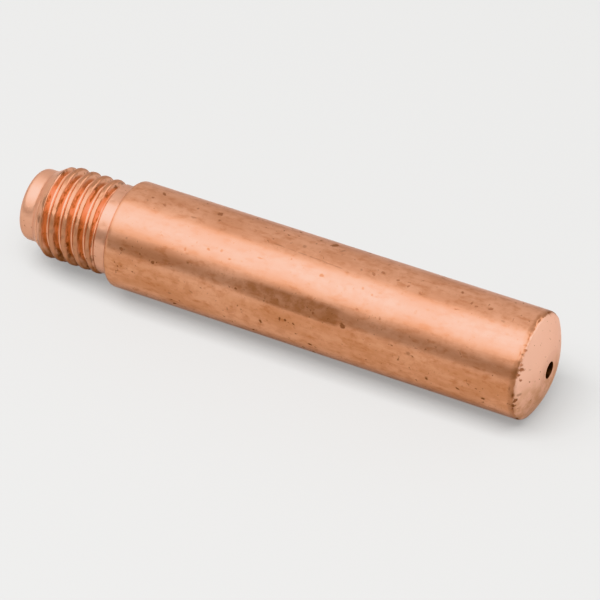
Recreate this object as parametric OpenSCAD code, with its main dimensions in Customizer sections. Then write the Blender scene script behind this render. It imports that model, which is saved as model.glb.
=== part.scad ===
// Welding contact tip: a turned copper tip for a wire welding gun, lying on its side with its nose towards +X.
// The turned shape is drawn along the tip's own axis, from the rear face at 0 to the nose, and laid down at the end.

/* [Body] */
// Diameter of the plain body
body_d = 7.3; // [7:0.1:10]
// Length of the body, from the shoulder that seats in the gun to the front rim
body_l = 29.5; // [12:0.5:60]
// Round on the shoulder's outer edge
shoulder_round = 0.4; // [0.1:0.05:0.45]

/* [Nose] */
// Height of the domed nose ahead of the front rim
nose_h = 1; // [0.6:0.05:1.6]
// Diameter of the flat at the top of the dome
nose_flat_d = 2.8; // [1.8:0.1:4]
// Width of the broken edge at the front rim
rim_break = 0.11; // [0.05:0.01:0.2]

/* [Thread] */
// Outside diameter of the thread
thread_d = 6.35; // [6.15:0.05:6.45]
// Pitch of the right-hand thread
thread_pitch = 0.907; // [0.7:0.001:1.1]
// Length of the threaded end, from the shoulder to the rear face
stub_l = 7; // [5.5:0.25:12]
// Where the thread starts, in degrees round the axis
thread_turn = 85; // [0:5:355]
// Diameter of the plain collar between the thread and the shoulder
collar_d = 6.1; // [5.9:0.05:6.3]
// Length of the collar
collar_l = 0.95; // [0.6:0.05:1.5]

/* [Pilot] */
// Diameter of the plain pilot that leads the thread in
pilot_d = 4.94; // [4.6:0.02:5.2]
// Length of the pilot
pilot_l = 1.1; // [0.7:0.05:1.5]
// Round on the pilot's rear edge
pilot_round = 0.45; // [0.1:0.05:0.6]
// Slope of the cone between the pilot and the thread, in degrees from the axis
lead_angle = 35; // [25:1:50]

/* [Wire bore] */
// Diameter of the bore that the wire slides through
bore_d = 1.1; // [0.7:0.05:1.5]
// Diameter of the funnel's mouth, where the wire goes in
funnel_d = 2.8; // [2:0.1:3.2]
// Angle across the funnel
funnel_angle = 60; // [40:5:90]

/* [Hidden] */
$fn = 96;
copper = [0.83, 0.55, 0.40];

body_r = body_d / 2;
thread_r = thread_d / 2;
collar_r = collar_d / 2;
pilot_r = pilot_d / 2;
bore_r = bore_d / 2;
funnel_r = funnel_d / 2;
funnel_depth = (funnel_r - bore_r) / tan(funnel_angle / 2);
lead_l = (thread_r - pilot_r) / tan(lead_angle);
thread_end = stub_l - collar_l;
rim_z = stub_l + body_l;
tip_l = rim_z + nose_h;

// The dome runs from the broken edge to the flat, round a centre on the axis
flat_r = nose_flat_d / 2;
dome_foot_r = body_r - rim_break;
dome_foot_z = rim_z + 1.5 * rim_break;
dome_h = tip_l - dome_foot_z;
dome_drop = (pow(dome_foot_r, 2) - pow(flat_r, 2) + pow(dome_h, 2)) / (2 * dome_h);
dome_r = norm([flat_r, dome_drop]);

// The thread is a groove with sloping sides, swept a little proud of the crests so that it cuts right through
flank_angle = 30;
crest_flat = 0.28 * thread_pitch;
root_flat = 0.14 * thread_pitch;
proud = 0.06;
thread_depth = (thread_pitch - crest_flat - root_flat) / 2 / tan(flank_angle);
root_r = thread_r - thread_depth;
mouth_r = thread_r + proud;
mouth_w = root_flat + 2 * (thread_depth + proud) * tan(flank_angle);
steps_per_turn = 48;
runout_steps = 16;
groove_start = pilot_l - thread_pitch;
groove_steps = floor(steps_per_turn * (thread_end + mouth_w / 2 - groove_start) / thread_pitch);

// What a round of radius r takes off an outer corner at the origin that faces the rear
module corner_waste(r) {
    difference() {
        translate([-r, -r]) square([2 * r, 2 * r]);
        translate([-r, r]) circle(r);
    }
}

// What the dome takes off the front of the blank
module nose_waste() {
    difference() {
        translate([0, dome_foot_z]) square([body_r + 1, nose_h + 1]);
        translate([0, tip_l - dome_drop]) circle(dome_r);
    }
}

// Half of the tip's section, on one side of the axis
module half_section() {
    difference() {
        polygon([
            [bore_r, funnel_depth], [funnel_r, 0], [pilot_r, 0], [pilot_r, pilot_l],
            [thread_r, pilot_l + lead_l], [thread_r, thread_end],
            [collar_r, thread_end], [collar_r, stub_l],
            [body_r, stub_l], [body_r, rim_z], [dome_foot_r, dome_foot_z],
            [dome_foot_r, tip_l], [bore_r, tip_l]
        ]);
        translate([pilot_r, 0]) corner_waste(pilot_round);
        translate([body_r, stub_l]) corner_waste(shoulder_round);
        nose_waste();
    }
}

// The groove between the crests, swept up a right-hand helix. It lifts out of the metal beside the collar
module thread_groove() {
    section = [
        [root_r, -root_flat / 2], [mouth_r, -mouth_w / 2],
        [mouth_r, mouth_w / 2], [root_r, root_flat / 2]
    ];
    points = [
        for (i = [0:groove_steps])
            let (
                turn = thread_turn + 360 * i / steps_per_turn,
                along = groove_start + thread_pitch * i / steps_per_turn,
                lift = (thread_depth + proud / 2) * max(0, 1 - (groove_steps - i) / runout_steps)
            )
            for (corner = section)
                let (r = corner[0] + lift)
                [r * cos(turn), r * sin(turn), along + corner[1]]
    ];
    sides = [
        for (i = [0:groove_steps - 1], k = [0:3])
            let (a = 4 * i + k, b = 4 * i + (k + 1) % 4)
            each [[a, b, b + 4], [a, b + 4, a + 4]]
    ];
    last = 4 * groove_steps;
    polyhedron(points, concat(sides, [[3, 2, 1, 0], [last, last + 1, last + 2, last + 3]]));
}

// The whole tip, which is one piece of copper
module contact_tip() {
    color(copper)
    translate([-tip_l / 2, 0, body_r])
    rotate([0, 90, 0])
    difference() {
        rotate_extrude() half_section();
        thread_groove();
    }
}

contact_tip();
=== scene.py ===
import math
import random
from collections import namedtuple

import bmesh
import bpy
from mathutils import Matrix, Vector, kdtree, noise


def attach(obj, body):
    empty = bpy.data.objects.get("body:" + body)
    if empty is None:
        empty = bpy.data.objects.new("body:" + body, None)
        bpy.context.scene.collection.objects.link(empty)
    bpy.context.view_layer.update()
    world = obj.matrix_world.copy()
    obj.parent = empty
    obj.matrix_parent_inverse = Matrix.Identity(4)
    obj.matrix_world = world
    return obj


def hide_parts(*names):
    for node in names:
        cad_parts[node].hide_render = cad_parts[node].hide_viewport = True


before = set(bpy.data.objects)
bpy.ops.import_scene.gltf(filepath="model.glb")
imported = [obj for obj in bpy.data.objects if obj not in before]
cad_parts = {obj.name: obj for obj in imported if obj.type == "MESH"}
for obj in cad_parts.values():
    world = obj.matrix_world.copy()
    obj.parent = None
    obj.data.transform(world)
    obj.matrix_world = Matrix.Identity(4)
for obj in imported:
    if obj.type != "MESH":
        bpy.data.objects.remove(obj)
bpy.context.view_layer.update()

# Sizes in millimetres, with stations measured along the tip from its rear face
MM = 0.001
TIP_L = 37.5
BODY_R = 3.65
SHOULDER = 7.0
SHOULDER_ROUND = 0.4
FRONT_RIM = 36.5
RIM_BREAK = 0.11
RIM_ROUND = 0.06
NOSE_FLAT_R = 1.4
BORE_R = 0.55
BORE_ROUND = 0.07
FUNNEL_R = 1.4
FUNNEL_DEPTH = 1.472
FUNNEL_ROUND = 0.06
PILOT_R = 2.47
PILOT_L = 1.1
PILOT_ROUND = 0.45
PILOT_FOOT_ROUND = 0.08
LEAD_SLOPE = math.tan(math.radians(35))
COLLAR_R = 3.05
COLLAR_ROUND = 0.06

# The thread, a right-hand helix with flanks 30 degrees off square, which runs out beside the collar
THREAD_R = 3.175
PITCH = 0.907
THREAD_START_ANGLE = 85
THREAD_FIRST = PILOT_L - PITCH
THREAD_END = 6.05
STRIP_TURNS = 8
CREST_FLAT = 0.28 * PITCH
CREST_ROUND = 0.07
ROOT_FLAT = 0.14 * PITCH
ROOT_ROUND = 0.05
FLANK_L = (PITCH - CREST_FLAT - ROOT_FLAT) / 2
ROOT_R = THREAD_R - FLANK_L / math.tan(math.radians(30))
RUN_OUT_BEFORE = 0.25
RUN_OUT_L = 0.32

# Where the turned outline stops and the helical strip takes over
REAR_JOIN = 1.22
FRONT_JOIN = 6.24
STRIP_FROM = 1.30
STRIP_TO = 6.16

# The dome runs from the broken edge of the rim to the flat at the end, round a centre on the axis
DOME_FOOT_R = BODY_R - RIM_BREAK
DOME_FOOT = FRONT_RIM + 1.5 * RIM_BREAK
DOME_RISE = TIP_L - DOME_FOOT
DOME_DROP = (DOME_FOOT_R ** 2 - NOSE_FLAT_R ** 2 + DOME_RISE ** 2) / (2 * DOME_RISE)
DOME_R = math.hypot(NOSE_FLAT_R, DOME_DROP)
DOME_CENTRE = TIP_L - DOME_DROP

# Steps round one full turn, and the length of one row of faces on each stretch of the outline
STEPS = 160
BORE_ROW = 2.0
FUNNEL_ROW = 0.2
REAR_ROW = 0.1
PILOT_ROW = 0.08
THREAD_ROW = 0.05
COLLAR_ROW = 0.07
BODY_ROW = 0.22
RIM_ROW = 0.05
DOME_ROW = 0.1
NOSE_ROW = 0.12

# The length of body beside the rim that has the rim's fine rows, and a radius just outside the bore
RIM_ZONE = 0.4
NEAR_BORE = 0.6

# Room for rounding where places are compared, and the gaps that are welded shut
SLACK = 0.01
CUT_WELD = 1e-6
STRIP_WELD = 0.002
TIP_WELD = 0.0005


def lead_in_r(station):
    """Radius of the lead-in cone at a station."""
    return PILOT_R + (station - PILOT_L) * LEAD_SLOPE


def clamped(value):
    """A value kept between 0 and 1."""
    return min(1, max(0, value))


def point(station, radius):
    """A point of the section, which is drawn straight below the axis."""
    return Vector((station, 0, -radius))


def radius_of(co):
    """Distance of a place from the axis."""
    return math.hypot(co.y, co.z)


def angle_of(co):
    """Degrees round the axis, counted from straight below it."""
    return math.degrees(math.atan2(co.y, -co.z)) % 360


def set_radius(vert, radius):
    """Moves a vertex straight in or out from the axis."""
    grow = radius / radius_of(vert.co)
    vert.co.y *= grow
    vert.co.z *= grow


def round_corner(bm, place, size, segments):
    """Rounds the corner of the section that lies at a place."""
    corner = min(bm.verts, key=lambda v: (v.co - place).length)
    bmesh.ops.bevel(
        bm, geom=[corner], offset=size, offset_type="OFFSET", affect="VERTICES",
        segments=segments, profile=0.5, material=-1, clamp_overlap=False,
    )


def split_edges(bm, first, last, inner, outer, row):
    """Splits the section's edges between two stations and two radii into rows of about one length."""
    for edge in list(bm.edges):
        middle = (edge.verts[0].co + edge.verts[1].co) / 2
        cuts = round(edge.calc_length() / row) - 1
        if cuts > 0 and first <= middle.x <= last and inner <= -middle.z <= outer:
            bmesh.ops.subdivide_edges(bm, edges=[edge], cuts=cuts)


def turned_part():
    """Everything but the thread: one outline, rounded at its corners and spun round the axis."""
    bm = bmesh.new()
    corners = [
        point(REAR_JOIN, lead_in_r(REAR_JOIN)), point(PILOT_L, PILOT_R), point(0, PILOT_R),
        point(0, FUNNEL_R), point(FUNNEL_DEPTH, BORE_R), point(TIP_L, BORE_R),
        point(TIP_L, NOSE_FLAT_R), point(DOME_FOOT, DOME_FOOT_R), point(FRONT_RIM, BODY_R),
        point(FRONT_RIM - RIM_ZONE, BODY_R), point(SHOULDER, BODY_R), point(SHOULDER, COLLAR_R),
        point(FRONT_JOIN, COLLAR_R),
    ]
    outline = [bm.verts.new(corner) for corner in corners]
    bm.faces.new(outline)

    # Station and radius of each corner that is rounded, the size of its round and the segments in it
    rounds = [
        (0, PILOT_R, PILOT_ROUND, 8),
        (PILOT_L, PILOT_R, PILOT_FOOT_ROUND, 3),
        (0, FUNNEL_R, FUNNEL_ROUND, 3),
        (TIP_L, BORE_R, BORE_ROUND, 4),
        (FRONT_RIM, BODY_R, RIM_ROUND, 3),
        (SHOULDER, BODY_R, SHOULDER_ROUND, 8),
        (SHOULDER, COLLAR_R, COLLAR_ROUND, 3),
    ]
    for station, radius, size, segments in rounds:
        round_corner(bm, point(station, radius), size, segments)
    bmesh.ops.delete(bm, geom=list(bm.faces), context="FACES_ONLY")
    bm.edges.remove(bm.edges.get((outline[0], outline[-1])))

    # First and last station of each stretch, its inner and outer radius and the length of its rows
    stretches = [
        (0, TIP_L, 0, NEAR_BORE, BORE_ROW),
        (-SLACK, FUNNEL_DEPTH, NEAR_BORE, FUNNEL_R, FUNNEL_ROW),
        (-SLACK, SLACK, FUNNEL_R, PILOT_R, REAR_ROW),
        (SLACK, REAR_JOIN, PILOT_R - SLACK, BODY_R, PILOT_ROW),
        (FRONT_JOIN - SLACK, SHOULDER + SLACK, COLLAR_R - SLACK, BODY_R - SHOULDER_ROUND, COLLAR_ROW),
        (SHOULDER, FRONT_RIM - RIM_ZONE, BODY_R - SLACK, BODY_R + SLACK, BODY_ROW),
        (FRONT_RIM - RIM_ZONE, DOME_FOOT, DOME_FOOT_R, BODY_R + SLACK, RIM_ROW),
        (DOME_FOOT, TIP_L, NOSE_FLAT_R, DOME_FOOT_R, DOME_ROW),
        (TIP_L - SLACK, TIP_L + SLACK, NEAR_BORE, NOSE_FLAT_R, NOSE_ROW),
    ]
    for stretch in stretches:
        split_edges(bm, *stretch)
    for vert in bm.verts:
        if vert.co.x > DOME_FOOT + SLACK and -vert.co.z > NOSE_FLAT_R:
            vert.co.x = DOME_CENTRE + math.sqrt(DOME_R ** 2 - vert.co.z ** 2)
    bmesh.ops.spin(
        bm, geom=bm.verts[:] + bm.edges[:], cent=(0, 0, 0), axis=(1, 0, 0), dvec=(0, 0, 0),
        angle=2 * math.pi, steps=STEPS, use_merge=True,
    )
    return bm


def thread_section():
    """One pitch of the thread's outline, from the middle of one root to the middle of the next."""
    start = THREAD_FIRST - PITCH * THREAD_START_ANGLE / 360
    crest_from = ROOT_FLAT / 2 + FLANK_L
    stops = [
        (0, ROOT_R), (ROOT_FLAT / 2, ROOT_R), (crest_from, THREAD_R),
        (crest_from + CREST_FLAT, THREAD_R), (PITCH - ROOT_FLAT / 2, ROOT_R), (PITCH, ROOT_R),
    ]
    core_r = ROOT_R / 2
    strip = bmesh.new()
    corners = [strip.verts.new(point(start + along, radius)) for along, radius in stops]
    core = [strip.verts.new(point(start + PITCH, core_r)), strip.verts.new(point(start, core_r))]
    strip.faces.new(corners + core)
    for along, radius in stops[1:-1]:
        size = CREST_ROUND if radius == THREAD_R else ROOT_ROUND
        round_corner(strip, point(start + along, radius), size, 4)
    bmesh.ops.delete(strip, geom=core, context="VERTS")
    bmesh.ops.delete(strip, geom=list(strip.faces), context="FACES_ONLY")
    split_edges(strip, start, start + PITCH, ROOT_R - SLACK, THREAD_R + SLACK, THREAD_ROW)
    return strip


def add_thread_strip(bm):
    """The thread's outline swept up a right-hand helix, turn after turn, and trimmed square at both ends."""
    strip = thread_section()
    bmesh.ops.spin(
        strip, geom=strip.verts[:] + strip.edges[:], cent=(0, 0, 0), axis=(1, 0, 0),
        dvec=(PITCH / STEPS, 0, 0), angle=2 * math.pi, steps=STEPS,
    )
    one_turn = strip.verts[:] + strip.edges[:] + strip.faces[:]
    for turn in range(1, STRIP_TURNS):
        copied = bmesh.ops.duplicate(strip, geom=one_turn)["geom"]
        moved = [part for part in copied if isinstance(part, bmesh.types.BMVert)]
        bmesh.ops.translate(strip, vec=(PITCH * turn, 0, 0), verts=moved)
    bmesh.ops.remove_doubles(strip, verts=strip.verts[:], dist=STRIP_WELD)
    for station, side in ((STRIP_FROM, -1), (STRIP_TO, 1)):
        bmesh.ops.bisect_plane(
            strip, geom=strip.verts[:] + strip.edges[:] + strip.faces[:], dist=CUT_WELD,
            plane_co=(station, 0, 0), plane_no=(side, 0, 0), clear_outer=True,
        )
    for vert in strip.verts:
        station = vert.co.x
        radius = min(radius_of(vert.co), lead_in_r(station))
        run_out = clamped((station - THREAD_END + RUN_OUT_BEFORE) / RUN_OUT_L)
        run_out = run_out * run_out * (3 - 2 * run_out)
        set_radius(vert, radius + (COLLAR_R - radius) * run_out)
    carrier = bpy.data.meshes.new("thread_strip")
    strip.to_mesh(carrier)
    strip.free()
    bm.from_mesh(carrier)
    bpy.data.meshes.remove(carrier)


def join_thread(bm):
    """Bridges the strip's two square ends to the turned part."""
    for low, high in ((REAR_JOIN, STRIP_FROM), (STRIP_TO, FRONT_JOIN)):
        rings = [
            edge for edge in bm.edges
            if edge.is_boundary and all(low - SLACK <= v.co.x <= high + SLACK for v in edge.verts)
        ]
        bmesh.ops.bridge_loops(bm, edges=rings)


# A pit or scratch: station, degrees round, half length, half width, weight, slant in degrees
Mark = namedtuple("Mark", "station angle length width weight slant")

# Marks seen on the body, from the shoulder to the rim
BODY_MARKS = [
    (9.4, 167, 0.24, 0.10, 0.04, 50), (8.95, 179, 0.12, 0.10, 0.03, 0),
    (10.0, 184, 0.15, 0.09, 0.04, 45), (8.75, 185, 0.12, 0.08, 0.02, 30),
    (13.65, 171, 0.20, 0.18, 0.04, 40), (13.93, 181, 0.10, 0.11, 0.04, 0),
    (12.25, 188, 0.22, 0.08, 0.02, 0), (14.22, 217.5, 0.12, 0.10, 0.05, 0),
    (15.1, 215, 0.12, 0.15, 0.03, 0), (15.85, 220.5, 0.13, 0.09, 0.04, 0),
    (16.7, 219, 0.12, 0.10, 0.02, 0), (12.7, 225, 0.15, 0.15, 0.03, 60),
    (8.55, 232.5, 0.08, 0.08, 0.02, 0), (13.15, 237, 0.08, 0.07, 0.02, 0),
    (8.35, 245, 0.16, 0.10, 0.05, 15), (10.75, 248.5, 0.14, 0.13, 0.05, 0),
    (16.8, 247, 0.12, 0.10, 0.04, 0), (13.65, 267.5, 0.20, 0.07, 0.02, 30),
    (16.3, 274, 0.08, 0.18, 0.02, 0), (12.0, 279.5, 0.15, 0.10, 0.02, 0),
    (17.75, 209.5, 0.28, 0.08, 0.03, 0), (19.75, 200, 0.10, 0.10, 0.03, 0),
    (20.1, 213.5, 0.11, 0.07, 0.02, 0), (21.55, 219, 0.12, 0.10, 0.02, 0),
    (22.15, 207, 0.19, 0.13, 0.04, 0), (22.8, 211, 0.08, 0.15, 0.02, 20),
    (23.95, 213, 0.10, 0.18, 0.02, 0), (25.05, 206.5, 0.12, 0.13, 0.03, 0),
    (25.8, 210, 0.14, 0.12, 0.03, 0), (26.25, 205.5, 0.15, 0.08, 0.02, 0),
    (25.75, 220.5, 0.12, 0.10, 0.02, 0), (25.2, 229, 0.12, 0.12, 0.03, 0),
    (25.25, 186.5, 0.16, 0.11, 0.04, 50), (25.7, 181, 0.15, 0.12, 0.03, 0),
    (24.35, 186, 0.08, 0.12, 0.02, 0), (26.9, 184.5, 0.11, 0.10, 0.03, 0),
    (20.05, 179, 0.14, 0.14, 0.02, 0), (21.65, 159, 0.22, 0.34, 0.05, 20),
    (22.35, 246.5, 0.10, 0.11, 0.03, 0), (24.5, 249.5, 0.19, 0.17, 0.05, 20),
    (20.1, 265, 0.07, 0.18, 0.03, 0), (20.5, 264, 0.10, 0.09, 0.04, 0),
    (21.1, 265.5, 0.11, 0.08, 0.03, 30), (18.7, 276, 0.11, 0.17, 0.03, 0),
    (22.2, 288, 0.14, 0.12, 0.03, 0), (27.72, 188, 0.10, 0.14, 0.05, 0),
    (28.7, 191.5, 0.15, 0.13, 0.04, 0), (27.6, 198, 0.10, 0.14, 0.02, 0),
    (31.05, 171.5, 0.18, 0.10, 0.03, 60), (32.05, 183.5, 0.09, 0.13, 0.04, 0),
    (32.45, 185.5, 0.13, 0.10, 0.05, 0), (33.38, 182.5, 0.12, 0.14, 0.05, 0),
    (31.35, 196, 0.22, 0.08, 0.03, -15), (34.5, 193, 0.15, 0.10, 0.02, 0),
    (29.65, 207, 0.15, 0.10, 0.02, 0), (28.95, 213, 0.12, 0.18, 0.02, 0),
    (31.85, 208.5, 0.08, 0.12, 0.02, 0), (35.15, 205.5, 0.13, 0.10, 0.02, 0),
    (26.85, 231, 0.10, 0.12, 0.03, 0), (29.2, 256, 0.18, 0.15, 0.02, 0),
    (30.55, 280.5, 0.12, 0.17, 0.03, 0), (32.75, 280, 0.20, 0.08, 0.03, 25),
    (34.5, 283, 0.15, 0.14, 0.03, 0), (22.4, 166, 0.12, 0.20, 0.02, 30),
]

# One long thin line drawn along the top of the body
DRAWN_LINE = [
    (18.5, 188.5, 0.45, 0.05, 0.02, 3), (19.4, 189, 0.5, 0.05, 0.015, 3),
    (20.3, 189.8, 0.5, 0.05, 0.02, 3), (21.2, 190.4, 0.5, 0.05, 0.02, 3),
    (22.1, 191.2, 0.5, 0.06, 0.025, 3), (22.9, 192, 0.4, 0.05, 0.02, 3),
]

# Marks along the front rim
RIM_MARKS = [
    (36.45, 181, 0.10, 0.30, 0.02, 0), (36.55, 210.5, 0.12, 0.10, 0.04, 0),
    (36.42, 221, 0.09, 0.24, 0.03, 0), (36.68, 231, 0.09, 0.12, 0.03, 0),
    (36.65, 242, 0.14, 0.12, 0.04, 20), (36.30, 258, 0.07, 0.20, 0.02, 0),
    (36.85, 267, 0.12, 0.15, 0.02, 0), (36.60, 280, 0.11, 0.20, 0.03, 0),
    (36.62, 215.5, 0.10, 0.14, 0.04, 0), (36.76, 235.5, 0.10, 0.15, 0.05, 0),
    (36.82, 248, 0.08, 0.10, 0.03, 0), (36.70, 272.5, 0.10, 0.20, 0.05, 0),
    (36.52, 199, 0.10, 0.18, 0.04, 0),
]

# Small marks on the side that the photograph doesn't show: how many, where they may lie, and their make
UNSEEN_MARKS = 60
UNSEEN_STATIONS = (7.6, 36.2)
UNSEEN_ANGLES = (292, 518)
UNSEEN_WIDTHS = (0.06, 0.13)
UNSEEN_STRETCHES = (1, 1.8)
UNSEEN_WEIGHTS = (0.015, 0.05)
UNSEEN_SLANTS = (-60, 60)

# How far the finer faces reach past a mark, as a share of its size and in millimetres, and their cuts
MARK_SPREAD = 1.4
MARK_MARGIN = 0.12
MARK_CUTS = 3

# Millimetres sunk and grime for a weight of 1, and how steeply the grime fades at a mark's edge
MARK_SINK = 0.2
MARK_GRIME = 24
GRIME_FADE = 1.8

# A mark's ragged edge: its measure, how far it may reach, and the scale and strength of its noise
MARK_MEASURE = 0.8
MARK_FARTHEST = 2.2
EDGE_NOISE = ((4, 0.5), (10, 0.3))

# The noise is turned off the axes, so that its edges don't line up with them
NOISE_TURN = Matrix.Rotation(0.6, 3, "X") @ Matrix.Rotation(0.5, 3, "Z")


def surface_point(station, angle):
    """A place on the body or the dome."""
    turn = math.radians(angle)
    radius = BODY_R
    if station > DOME_FOOT:
        radius = math.sqrt(DOME_R ** 2 - (station - DOME_CENTRE) ** 2)
    return Vector((station, radius * math.sin(turn), -radius * math.cos(turn)))


def mark_offset(co, mark):
    """How far a place is from a mark's middle, along the mark and across it."""
    lean = math.radians(mark.slant)
    along = co.x - mark.station
    around = BODY_R * math.radians((angle_of(co) - mark.angle + 180) % 360 - 180)
    return (
        along * math.cos(lean) + around * math.sin(lean),
        around * math.cos(lean) - along * math.sin(lean),
    )


def layered_noise(co, layers):
    """The sum of coarse and fine noise, each with its scale and strength."""
    return sum(strength * noise.noise(co * scale) for scale, strength in layers)


def all_marks():
    """The marks seen in the photograph, and small ones of the same kind on the side that it doesn't show."""
    chance = random.Random(7)
    marks = [Mark(*row) for row in BODY_MARKS + DRAWN_LINE + RIM_MARKS]
    for _ in range(UNSEEN_MARKS):
        width = chance.uniform(*UNSEEN_WIDTHS)
        marks.append(Mark(
            station=chance.uniform(*UNSEEN_STATIONS),
            angle=chance.uniform(*UNSEEN_ANGLES) % 360,
            length=width * chance.uniform(*UNSEEN_STRETCHES),
            width=width,
            weight=chance.uniform(*UNSEEN_WEIGHTS),
            slant=chance.uniform(*UNSEEN_SLANTS),
        ))
    return marks


def refine_round(bm, marks):
    """Cuts the faces round each mark finer, so that its edge has a shape."""
    bm.faces.index_update()
    bm.faces.ensure_lookup_table()
    tree = kdtree.KDTree(len(bm.faces))
    for face in bm.faces:
        tree.insert(face.calc_center_median(), face.index)
    tree.balance()
    chosen = set()
    for mark in marks:
        reach_along = MARK_SPREAD * mark.length + MARK_MARGIN
        reach_across = MARK_SPREAD * mark.width + MARK_MARGIN
        middle = surface_point(mark.station, mark.angle)
        for co, index, _ in tree.find_range(middle, max(reach_along, reach_across)):
            ahead, aside = mark_offset(co, mark)
            if math.hypot(ahead / reach_along, aside / reach_across) < 1:
                chosen.update(bm.faces[index].edges)
    bmesh.ops.subdivide_edges(bm, edges=list(chosen), cuts=MARK_CUTS, use_grid_fill=True)
    for vert in bm.verts:
        on_body = SHOULDER + SHOULDER_ROUND < vert.co.x < FRONT_RIM - RIM_ROUND - SLACK
        if on_body and BODY_R - SLACK < radius_of(vert.co):
            set_radius(vert, BODY_R)


# The flat on the body's side: the way it faces, where it lies, its depth, and how far it fades in and out
SIDE_FLAT_ANGLE = 243.5
SIDE_FLAT_FROM = 16.8
SIDE_FLAT_TO = 24.25
SIDE_FLAT_DEPTH = 0.045
SIDE_FLAT_FADE_IN = 3
SIDE_FLAT_FADE_OUT = 0.2


def press_side_flat(bm):
    """A shallow flat along the body, which starts gently and ends at a step."""
    for vert in bm.verts:
        radius = radius_of(vert.co)
        if radius < BODY_R - SLACK or not SIDE_FLAT_FROM < vert.co.x < SIDE_FLAT_TO:
            continue
        facing = math.cos(math.radians(angle_of(vert.co) - SIDE_FLAT_ANGLE))
        if radius * facing > BODY_R - SIDE_FLAT_DEPTH:
            flat_r = (BODY_R - SIDE_FLAT_DEPTH) / facing
            fade_in = clamped((vert.co.x - SIDE_FLAT_FROM) / SIDE_FLAT_FADE_IN)
            fade_out = clamped((SIDE_FLAT_TO - vert.co.x) / SIDE_FLAT_FADE_OUT)
            set_radius(vert, radius + (flat_r - radius) * (fade_in * fade_out))


def add_grime(vert, grime, amount):
    """Raises a vertex's grime to an amount, where it has less."""
    vert[grime] = max(vert[grime], clamped(amount))


def sink_marks(bm, marks, grime):
    """Sinks each mark into the surface and soils it."""
    bm.verts.index_update()
    bm.verts.ensure_lookup_table()
    tree = kdtree.KDTree(len(bm.verts))
    for vert in bm.verts:
        tree.insert(vert.co, vert.index)
    tree.balance()
    for mark in marks:
        middle = surface_point(mark.station, mark.angle)
        for co, index, _ in tree.find_range(middle, MARK_FARTHEST * max(mark.length, mark.width)):
            ahead, aside = mark_offset(co, mark)
            uneven = 1 + layered_noise(NOISE_TURN @ co, EDGE_NOISE)
            reach = MARK_MEASURE * math.hypot(ahead / mark.length, aside / mark.width) * uneven
            if reach < 1:
                vert = bm.verts[index]
                sink = MARK_SINK * mark.weight * (1 - reach * reach) ** 2
                soil = clamped(MARK_GRIME * mark.weight) * clamped(GRIME_FADE * (1 - reach))
                set_radius(vert, radius_of(vert.co) - sink)
                add_grime(vert, grime, soil)


# Where the body is worn, and its wear in millimetres: an even skin, slow waves and fine ripples
WORN_FROM = SHOULDER + 0.1
WORN_TO = FRONT_RIM + 0.3
WORN_R = 3.3
SKIN_WEAR = 0.003
WAVE_WEAR = 0.010
RIPPLE_WEAR = 0.001

# Scale of the waves and the ripples along the tip and across it
WAVE_SCALES = (0.3, 0.55)
RIPPLE_SCALES = (0.25, 2.2)

# The ragged rim: where it lies, its wear, the scales and strengths of its noise, and its grime
RIM_MIDDLE = FRONT_RIM + 0.05
RIM_REACH = 0.24
RIM_WEAR = 0.04
RIM_NOISE = ((1.7, 1), (4.5, 0.6))
RIM_WORN_SHARE = 0.35
RIM_GRIME = 0.42
RIM_GRIME_SPREAD = 0.5

# The worn thread: where it ends, and the nicks in its crests, which start a little above the root
THREAD_WORN_TO = SHOULDER - 0.1
THREAD_WORN_R = ROOT_R - 0.2
NICK_FROM_R = ROOT_R + 0.2
NICK_FADE = 0.2
NICK_WEAR = 0.07
NICK_GRIME = 1.1

# Scale of the nicks' noise, the level above which it cuts, and its strength
NICK_NOISE = ((2.1, 0.2, 1), (6, 0.1, 0.4))

# The unevenness of the whole thread, and its scale
FLANK_WEAR = 0.004
FLANK_SCALE = 5


def drawn_noise(co, along, across):
    """Noise from 0 to 1, with one scale along the tip and another across it."""
    return 0.5 + 0.5 * noise.noise(Vector((co.x * along, co.y * across, co.z * across)))


def wear_body(vert, grime):
    """Slow waves along the body and a ragged, soiled front rim."""
    co = vert.co.copy()
    wave = WAVE_WEAR * drawn_noise(co, *WAVE_SCALES)
    ripple = RIPPLE_WEAR * drawn_noise(co, *RIPPLE_SCALES)
    radius = radius_of(co) - (SKIN_WEAR + wave + ripple)
    near_rim = 1 - abs(co.x - RIM_MIDDLE) / RIM_REACH
    if near_rim > 0:
        ragged = layered_noise(co, RIM_NOISE)
        radius -= RIM_WEAR * near_rim * max(0, RIM_WORN_SHARE + ragged)
        add_grime(vert, grime, near_rim * (RIM_GRIME + RIM_GRIME_SPREAD * ragged))
    set_radius(vert, radius)


def wear_thread(vert, grime):
    """Nicked, soiled crests and uneven flanks."""
    co = vert.co.copy()
    radius = radius_of(co)
    nick = sum(strength * max(0, noise.noise(co * scale) - level) for scale, level, strength in NICK_NOISE)
    nick *= clamped((radius - NICK_FROM_R) / NICK_FADE)
    set_radius(vert, radius - NICK_WEAR * nick - FLANK_WEAR * noise.noise(co * FLANK_SCALE))
    add_grime(vert, grime, NICK_GRIME * nick)


def wear(bm, grime):
    """Wears the body, the rim and the thread."""
    for vert in bm.verts:
        station = vert.co.x
        radius = radius_of(vert.co)
        if WORN_FROM < station < WORN_TO and radius > WORN_R:
            wear_body(vert, grime)
        elif PILOT_L < station < THREAD_WORN_TO and radius > THREAD_WORN_R:
            wear_thread(vert, grime)


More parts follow.
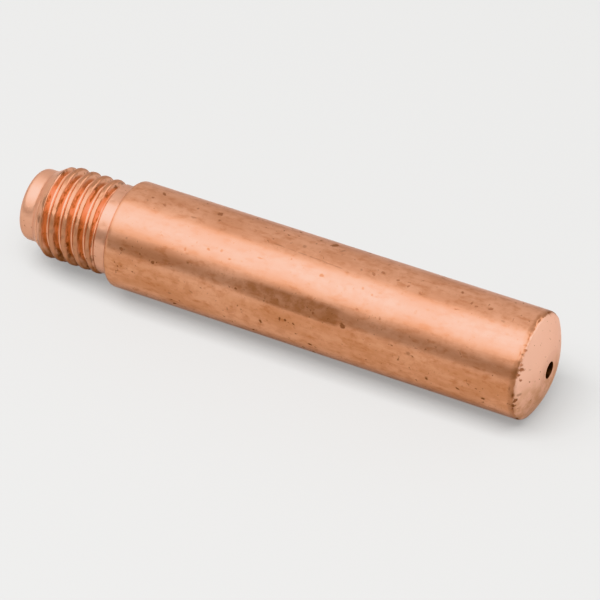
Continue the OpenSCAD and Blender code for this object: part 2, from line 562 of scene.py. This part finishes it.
def tip_mesh():
    """The whole tip as one closed mesh, lying along X on the floor."""
    bm = turned_part()
    add_thread_strip(bm)
    join_thread(bm)
    bmesh.ops.remove_doubles(bm, verts=bm.verts[:], dist=TIP_WELD)
    marks = all_marks()
    refine_round(bm, marks)
    grime = bm.verts.layers.float.new("grime")
    press_side_flat(bm)
    sink_marks(bm, marks, grime)
    wear(bm, grime)
    bmesh.ops.recalc_face_normals(bm, faces=bm.faces[:])
    for face in bm.faces:
        face.smooth = True
    bmesh.ops.translate(bm, vec=(-TIP_L / 2, 0, BODY_R), verts=bm.verts[:])
    bmesh.ops.scale(bm, vec=(MM, MM, MM), verts=bm.verts[:])
    mesh = bpy.data.meshes.new("contact_tip_turned")
    bm.to_mesh(mesh)
    bm.free()
    return mesh


class Finish:
    """A material's node tree, with short ways to add the nodes that a finish needs."""

    def __init__(self, name):
        self.material = bpy.data.materials.new(name)
        self.material.use_nodes = True
        self.tree = self.material.node_tree
        self.shader = self.tree.nodes["Principled BSDF"]

    def add(self, kind, inputs=None, **settings):
        """A new node with its settings, and each input linked or set."""
        made = self.tree.nodes.new(kind)
        for name, value in settings.items():
            setattr(made, name, value)
        for name, value in (inputs or {}).items():
            if isinstance(value, bpy.types.NodeSocket):
                self.tree.links.new(value, made.inputs[name])
            else:
                made.inputs[name].default_value = value
        return made

    def link(self, value, name):
        """A value linked to the shader's input of that name."""
        self.tree.links.new(value, self.shader.inputs[name])

    def moved(self, vector, scale, location=(0, 0, 0)):
        """A vector scaled and shifted by a Mapping node."""
        made = self.add("ShaderNodeMapping", {"Vector": vector, "Scale": scale, "Location": location})
        return made.outputs[0]

    def cloud(self, vector, scale, detail, roughness):
        """Soft noise from 0 to 1."""
        made = self.add("ShaderNodeTexNoise", {
            "Vector": vector, "Scale": scale, "Detail": detail, "Roughness": roughness,
        })
        return made.outputs["Fac"]

    def ramp(self, value, low, high, to_low=0.0, to_high=1.0):
        """A value carried smoothly from one range to another."""
        made = self.add("ShaderNodeMapRange", {
            "Value": value, "From Min": low, "From Max": high, "To Min": to_low, "To Max": to_high,
        }, interpolation_type="SMOOTHSTEP")
        return made.outputs["Result"]

    def maths(self, operation, first, second):
        """Two values through one Math node."""
        return self.add("ShaderNodeMath", {0: first, 1: second}, operation=operation).outputs[0]

    def times(self, first, *others):
        """The product of several values."""
        for other in others:
            first = self.maths("MULTIPLY", first, other)
        return first

    def total(self, first, *others):
        """The sum of several values."""
        for other in others:
            first = self.maths("ADD", first, other)
        return first

    def tinted(self, factor, colour, tint):
        """A colour multiplied by a tint, as far as a factor says."""
        inputs = {0: factor, 6: colour, 7: tint}
        return self.add("ShaderNodeMix", inputs, data_type="RGBA", blend_type="MULTIPLY").outputs[2]

    def mixed(self, factor, first, second):
        """Two colours mixed by a factor."""
        inputs = {0: factor, 6: first, 7: second}
        return self.add("ShaderNodeMix", inputs, data_type="RGBA").outputs[2]


# The copper's colours, from cleaned metal to near black, and the tints that darken what lies under them, two
# of which are painted shade
BRIGHT_COPPER = (0.705, 0.364, 0.235, 1)
BROWN_COPPER = (0.575, 0.270, 0.160, 1)
FACED_COPPER = (0.90, 0.54, 0.405, 1)
STUB_COPPER = (0.72, 0.40, 0.285, 1)
VALLEY_COPPER = (0.69, 0.365, 0.236, 1)
CREST_COPPER = (0.46, 0.212, 0.122, 1)
# A painted dark reflection, brown, over the side flat
SIDE_FLAT_DARK_REFLECTION = (0.46, 0.2, 0.105, 1)
RIM_BROWN = (0.42, 0.192, 0.108, 1)
# Tan for the bottom of the nose
NOSE_LOWER_TAN = (0.58, 0.30, 0.175, 1)
PIT_BROWN = (0.275, 0.132, 0.077, 1)
DARK_SOIL = (0.14, 0.068, 0.04, 1)
# Near black for the inside of the bore
BORE_NEAR_BLACK = (0.05, 0.028, 0.02, 1)
BLOTCH_TINT = (0.86, 0.79, 0.73, 1)
# Painted shade, warmer and darker, low on the body's sides
LOWER_SHADE_TINT = (0.93, 0.88, 0.78, 1)
# Painted shade on the thread's underside
UNDER_SHADE_TINT = (0.6, 0.52, 0.46, 1)
GLANCE_TINT = (0.8, 0.72, 0.68, 1)

# The way that the painted dark reflection on the side flat faces, within half a degree of the flat itself
SIDE_FLAT_FACING = (0, -0.891, 0.454)


class CopperFinish(Finish):
    """Drawn copper: satin, stained and streaked, with soil in its thread and pits and a matter nose."""

    def __init__(self):
        super().__init__("drawn_copper")
        self.measure()
        self.spread_noise()
        self.mark_out()

    def measure(self):
        """Millimetres from the axis, the station, height and radius, and the mesh's own grime."""
        place = self.add("ShaderNodeTexCoord").outputs["Object"]
        self.mm = self.moved(place, (1 / MM, 1 / MM, 1 / MM), (0, 0, -BODY_R))
        split = self.add("ShaderNodeSeparateXYZ", {0: self.mm}).outputs
        self.station = self.total(split["X"], TIP_L / 2)
        self.height = split["Z"]
        self.cross = self.add("ShaderNodeCombineXYZ", {"Y": split["Y"], "Z": split["Z"]}).outputs[0]
        length = self.add("ShaderNodeVectorMath", {0: self.cross}, operation="LENGTH")
        self.radius = length.outputs["Value"]
        self.grime = self.add("ShaderNodeAttribute", attribute_name="grime").outputs["Fac"]

    def spread_noise(self):
        """The patterns of the stains, from long streaks to fine grain, and the facing tool's rings."""
        mm = self.mm
        self.stain = self.cloud(self.moved(mm, (0.3, 1, 1)), 0.55, 5, 0.6)
        self.blotch = self.cloud(self.moved(mm, (0.5, 1, 1)), 2.6, 3, 0.6)
        self.streak = self.cloud(self.moved(mm, (0.05, 1, 1)), 5.0, 1.5, 0.5)
        self.soil = self.cloud(self.moved(mm, (2.4, 0.75, 0.75)), 1.3, 4, 0.65)
        self.mottle = self.cloud(mm, 1.6, 4, 0.6)
        self.ragged = self.cloud(mm, 2.2, 4, 0.65)
        self.dots = self.cloud(mm, 3.4, 2, 0.5)
        self.grain = self.cloud(mm, 7.0, 3, 0.6)
        inputs = {"W": self.radius, "Scale": 16.0, "Detail": 2.0}
        self.rings = self.add("ShaderNodeTexNoise", inputs, noise_dimensions="1D").outputs["Fac"]

    def mark_out(self):
        """Where the nose, the stub behind the shoulder and the thread lie, as masks."""
        self.rim = self.total(self.station, self.times(self.ragged, 0.4))
        self.nose = self.ramp(self.rim, FRONT_RIM + 0.28, FRONT_RIM + 0.38)
        self.stub = self.ramp(self.station, SHOULDER + 0.15, SHOULDER - 0.05)
        self.threaded = self.ramp(self.station, THREAD_END + 0.12, THREAD_END - 0.04)
        self.past_lead_in = self.ramp(self.station, PILOT_L + 0.15, PILOT_L + 0.65)

    def body_colour(self):
        """Bright copper under brown stains, with painted shade that makes it warmer and a little darker low
        on its sides.
        """
        colour = self.mixed(self.ramp(self.stain, 0.35, 0.7), BRIGHT_COPPER, BROWN_COPPER)
        colour = self.mixed(self.ramp(self.mottle, 0.44, 0.68, 0, 0.75), colour, BROWN_COPPER)
        colour = self.mixed(self.ramp(self.streak, 0.55, 0.8, 0, 0.45), colour, BROWN_COPPER)
        colour = self.tinted(self.ramp(self.blotch, 0.48, 0.72), colour, BLOTCH_TINT)
        # Painted shade: warmer and darker low on the sides, where the body reflects the floor, patchy with
        # the stains
        lower = self.times(self.ramp(self.height, 1.9, 0.5), self.ramp(self.stain, 0.3, 0.6, 0.7, 1.0))
        return self.tinted(lower, colour, LOWER_SHADE_TINT)

    def side_flat_colour(self, colour):
        """A painted dark reflection, in brown patches, over the flat on the body's side."""
        inputs = {0: self.cross, 1: SIDE_FLAT_FACING}
        facing = self.add("ShaderNodeVectorMath", inputs, operation="DOT_PRODUCT").outputs["Value"]
        facing = self.maths("DIVIDE", facing, self.radius)
        # Painted dark reflection, only where the surface faces as the flat does, patchy with the mottle
        patches = self.times(
            self.ramp(self.station, SIDE_FLAT_FROM - 0.65, SIDE_FLAT_FROM + 1.35),
            self.ramp(self.station, SIDE_FLAT_TO - 0.14, SIDE_FLAT_TO - 0.24),
            self.ramp(facing, 0.988, 0.994),
            self.ramp(self.mottle, 0.35, 0.62, 0.2, 0.75),
        )
        return self.mixed(patches, colour, SIDE_FLAT_DARK_REFLECTION)

    def thread_colour(self, colour):
        """A paler stub, dull crests, cleaner valleys, soil on the flanks and painted shade on the underside,
        patchy with the soil.
        """
        colour = self.mixed(self.times(self.stub, 0.6), colour, STUB_COPPER)
        crest = self.times(self.threaded, self.ramp(self.radius, 3.0, 3.12), 0.85)
        colour = self.mixed(crest, colour, CREST_COPPER)
        valley = self.times(self.threaded, self.ramp(self.radius, 3.12, 2.86), self.past_lead_in)
        colour = self.mixed(valley, colour, VALLEY_COPPER)
        soiled = self.times(
            self.ramp(self.radius, 2.72, 2.9),
            self.ramp(self.radius, 3.14, 3.02),
            self.threaded,
            self.ramp(self.soil, 0.49, 0.65, 0, 0.75),
        )
        colour = self.mixed(soiled, colour, DARK_SOIL)
        # Painted shade on the thread's underside, patchy with the soil noise
        under = self.times(
            self.threaded,
            self.ramp(self.height, -0.7, -1.6),
            self.ramp(self.soil, 0.3, 0.55, 0.5, 1.0),
            self.past_lead_in,
        )
        return self.tinted(under, colour, UNDER_SHADE_TINT)

    def nose_colour(self, colour):
        """A brown edge to the rim, and a paler nose that turns tan towards its bottom."""
        rim_soil = self.times(
            self.ramp(self.rim, FRONT_RIM - 0.17, FRONT_RIM + 0.09),
            self.ramp(self.mottle, 0.3, 0.6, 0.4, 0.8),
        )
        colour = self.mixed(rim_soil, colour, RIM_BROWN)
        colour = self.mixed(self.times(self.nose, 0.85), colour, FACED_COPPER)
        # Tan towards the bottom of the nose, patchy with the mottle
        lower_tan_share = self.times(
            self.nose,
            self.ramp(self.height, 1.5, -1.2),
            self.ramp(self.mottle, 0.35, 0.65, 0.4, 1.0),
        )
        return self.mixed(lower_tan_share, colour, NOSE_LOWER_TAN)

    def pit_colour(self, colour):
        """Dark specks, brown dots, grime in the marks and a near-black bore."""
        colour = self.mixed(self.ramp(self.grain, 0.70, 0.78, 0, 0.55), colour, DARK_SOIL)
        colour = self.mixed(self.ramp(self.dots, 0.66, 0.76, 0, 0.75), colour, PIT_BROWN)
        colour = self.mixed(self.ramp(self.grime, 0.0, 0.9, 0, 0.95), colour, PIT_BROWN)
        # Near black inside the bore
        return self.mixed(self.ramp(self.radius, BORE_R + 0.05, BORE_R + 0.01), colour, BORE_NEAR_BLACK)

    def roughness(self):
        """Satin, matter on the nose, in the marks and at the dots."""
        return self.total(
            self.ramp(self.streak, 0.3, 0.75, 0.285, 0.32),
            self.times(self.nose, 0.12),
            self.ramp(self.grime, 0.35, 0.8, 0, 0.52),
            self.ramp(self.dots, 0.66, 0.76, 0, 0.3),
        )

    def fine_relief(self):
        """Fine unevenness, with the facing tool's rings on the nose."""
        relief = self.total(
            self.times(self.mottle, 0.08),
            self.times(self.streak, 0.07),
            self.times(self.grain, 0.1),
            self.times(self.rings, self.nose, 0.25),
        )
        bump = self.add("ShaderNodeBump", {"Strength": 0.35, "Distance": 0.03 * MM, "Height": relief})
        return bump.outputs["Normal"]

    def along_tip(self):
        """The tip's own direction, along which the fine turning marks spread its reflections."""
        axis = self.add("ShaderNodeCombineXYZ", {"X": 1.0}).outputs[0]
        turned = self.add(
            "ShaderNodeVectorTransform", {0: axis},
            vector_type="VECTOR", convert_from="OBJECT", convert_to="WORLD",
        )
        return turned.outputs[0]

    def gloss_spread(self):
        """How far reflections are spread that way: on the body, and not on the nose and the thread."""
        return self.ramp(self.maths("MAXIMUM", self.nose, self.threaded), 0, 1, 0.75, 0)


def copper():
    """The tip's one material."""
    finish = CopperFinish()
    colour = finish.body_colour()
    colour = finish.side_flat_colour(colour)
    colour = finish.thread_colour(colour)
    colour = finish.nose_colour(colour)
    colour = finish.pit_colour(colour)
    finish.link(colour, "Base Color")
    finish.link(finish.roughness(), "Roughness")
    finish.link(finish.fine_relief(), "Normal")
    finish.link(finish.along_tip(), "Tangent")
    finish.link(finish.gloss_spread(), "Anisotropic")
    finish.shader.inputs["Metallic"].default_value = 1
    finish.shader.inputs["Specular Tint"].default_value = GLANCE_TINT
    return finish.material


def make_tip():
    """The contact tip, which takes the place of its CAD solid."""
    tip = bpy.data.objects.new("contact_tip_turned", tip_mesh())
    bpy.context.collection.objects.link(tip)
    tip.data.materials.append(copper())
    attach(tip, "root")
    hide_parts("contact_tip")


# The floor, in metres from its middle to its edge, its colour, the light that it gives off and its finish
FLOOR_HALF = 3
FLOOR_GREY = (0.125, 0.125, 0.124, 1)
FLOOR_GLOW = (1, 0.995, 0.985, 1)
FLOOR_GLOW_STRENGTH = 0.33
FLOOR_ROUGHNESS = 0.7


def make_floor():
    """A wide pale floor that glows a little, as a light table does."""
    bm = bmesh.new()
    bmesh.ops.create_grid(bm, x_segments=1, y_segments=1, size=FLOOR_HALF)
    mesh = bpy.data.meshes.new("floor")
    bm.to_mesh(mesh)
    bm.free()
    floor = bpy.data.objects.new("floor", mesh)
    bpy.context.collection.objects.link(floor)
    finish = Finish("pale_floor")
    finish.shader.inputs["Base Color"].default_value = FLOOR_GREY
    finish.shader.inputs["Emission Color"].default_value = FLOOR_GLOW
    finish.shader.inputs["Emission Strength"].default_value = FLOOR_GLOW_STRENGTH
    finish.shader.inputs["Roughness"].default_value = FLOOR_ROUGHNESS
    floor.data.materials.append(finish.material)


# The lights overhead: their height and their place along the tip, in metres
SOFTBOX_HEIGHT = 0.32
SOFTBOX_X = -0.06

# The light behind: its length, width, brightness and place, and the way it faces
BACK_LIGHT_L = 0.5
BACK_LIGHT_W = 0.12
BACK_LIGHT_RADIANCE = 4
BACK_LIGHT_PLACE = (0.34, 0.3, 0.22)
BACK_LIGHT_FACING = (0, -0.3, -0.22)


def area_light(name, length, width, radiance, place):
    """A flat soft light that faces down and isn't seen by the camera."""
    data = bpy.data.lights.new(name, "AREA")
    data.shape = "RECTANGLE"
    data.size = length
    data.size_y = width
    data.energy = radiance * math.pi * data.size * data.size_y
    lamp = bpy.data.objects.new(name, data)
    lamp.location = place
    lamp.visible_camera = False
    bpy.context.collection.objects.link(lamp)
    return lamp


def softbox(name, lowest, behind, length, radiance):
    """A light overhead, from so many degrees up on the camera's side to so many behind the top."""
    front = -SOFTBOX_HEIGHT / math.tan(math.radians(lowest))
    back = SOFTBOX_HEIGHT * math.tan(math.radians(behind))
    area_light(name, length, back - front, radiance, (SOFTBOX_X, (front + back) / 2, SOFTBOX_HEIGHT))


def back_light():
    """A light behind the tip and beside its nose, which shapes the back and hardly shows in front."""
    lamp = area_light("back_softbox", BACK_LIGHT_L, BACK_LIGHT_W, BACK_LIGHT_RADIANCE, BACK_LIGHT_PLACE)
    lamp.rotation_euler = Vector(BACK_LIGHT_FACING).to_track_quat("-Z", "Y").to_euler()


def make_lights():
    """Four soft lights overhead, which give the body its bands, and one behind."""
    softbox("low_softbox", 25, -38, 0.6, 0.42)
    softbox("wide_softbox", 44.5, 10, 0.6, 1.5)
    softbox("main_softbox", 52.2, 1, 0.5, 17)
    softbox("rear_softbox", 88, 40, 0.6, 0.14)
    back_light()


# The room's colour, and its brightness from the camera's side to the far side
ROOM_WHITE = (1, 0.99, 0.975, 1)
ROOM_BRIGHTNESS = {"From Min": -0.6, "From Max": 0.4, "To Min": 0.6, "To Max": 0.95}


def make_room():
    """A pale room that is darker on the camera's side."""
    world = bpy.data.worlds.new("pale_room")
    world.use_nodes = True
    tree = world.node_tree
    coords = tree.nodes.new("ShaderNodeTexCoord")
    split = tree.nodes.new("ShaderNodeSeparateXYZ")
    ramp = tree.nodes.new("ShaderNodeMapRange")
    for name, value in ROOM_BRIGHTNESS.items():
        ramp.inputs[name].default_value = value
    background = tree.nodes["Background"]
    background.inputs["Color"].default_value = ROOM_WHITE
    tree.links.new(coords.outputs["Generated"], split.inputs[0])
    tree.links.new(split.outputs["Y"], ramp.inputs["Value"])
    tree.links.new(ramp.outputs["Result"], background.inputs["Strength"])
    bpy.context.scene.world = world


# The camera: degrees round and up, its lens and sensor in millimetres, and its near limit in metres
CAMERA_ROUND = 26.97
CAMERA_UP = 39.96
CAMERA_LENS = 249.6
CAMERA_SENSOR = 36
CAMERA_NEAREST = 0.01

# The camera's place from the middle of the front rim: right, up and back in its own view, in body diameters
CAMERA_OFFSET = (-2.0466, 0.5701, 36.1902)


def make_camera():
    """The photograph's own view: a long lens, from the nose's side and above."""
    azimuth = math.radians(CAMERA_ROUND)
    elevation = math.radians(CAMERA_UP)
    level = math.cos(elevation)
    back = Vector((math.sin(azimuth) * level, -math.cos(azimuth) * level, math.sin(elevation)))
    right = Vector((math.cos(azimuth), math.sin(azimuth), 0))
    up = back.cross(right)
    data = bpy.data.cameras.new("camera")
    data.sensor_width = CAMERA_SENSOR
    data.lens = CAMERA_LENS
    data.clip_start = CAMERA_NEAREST
    camera = bpy.data.objects.new("camera", data)
    turn = Matrix((right, up, back)).transposed()
    rim_middle = Vector((FRONT_RIM - TIP_L / 2, 0, BODY_R))
    place = MM * (rim_middle + 2 * BODY_R * (turn @ Vector(CAMERA_OFFSET)))
    camera.matrix_world = Matrix.Translation(place) @ turn.to_4x4()
    bpy.context.collection.objects.link(camera)
    bpy.context.scene.camera = camera


bpy.context.scene.view_settings.view_transform = "Khronos PBR Neutral"
make_tip()
make_floor()
make_lights()
make_room()
make_camera()
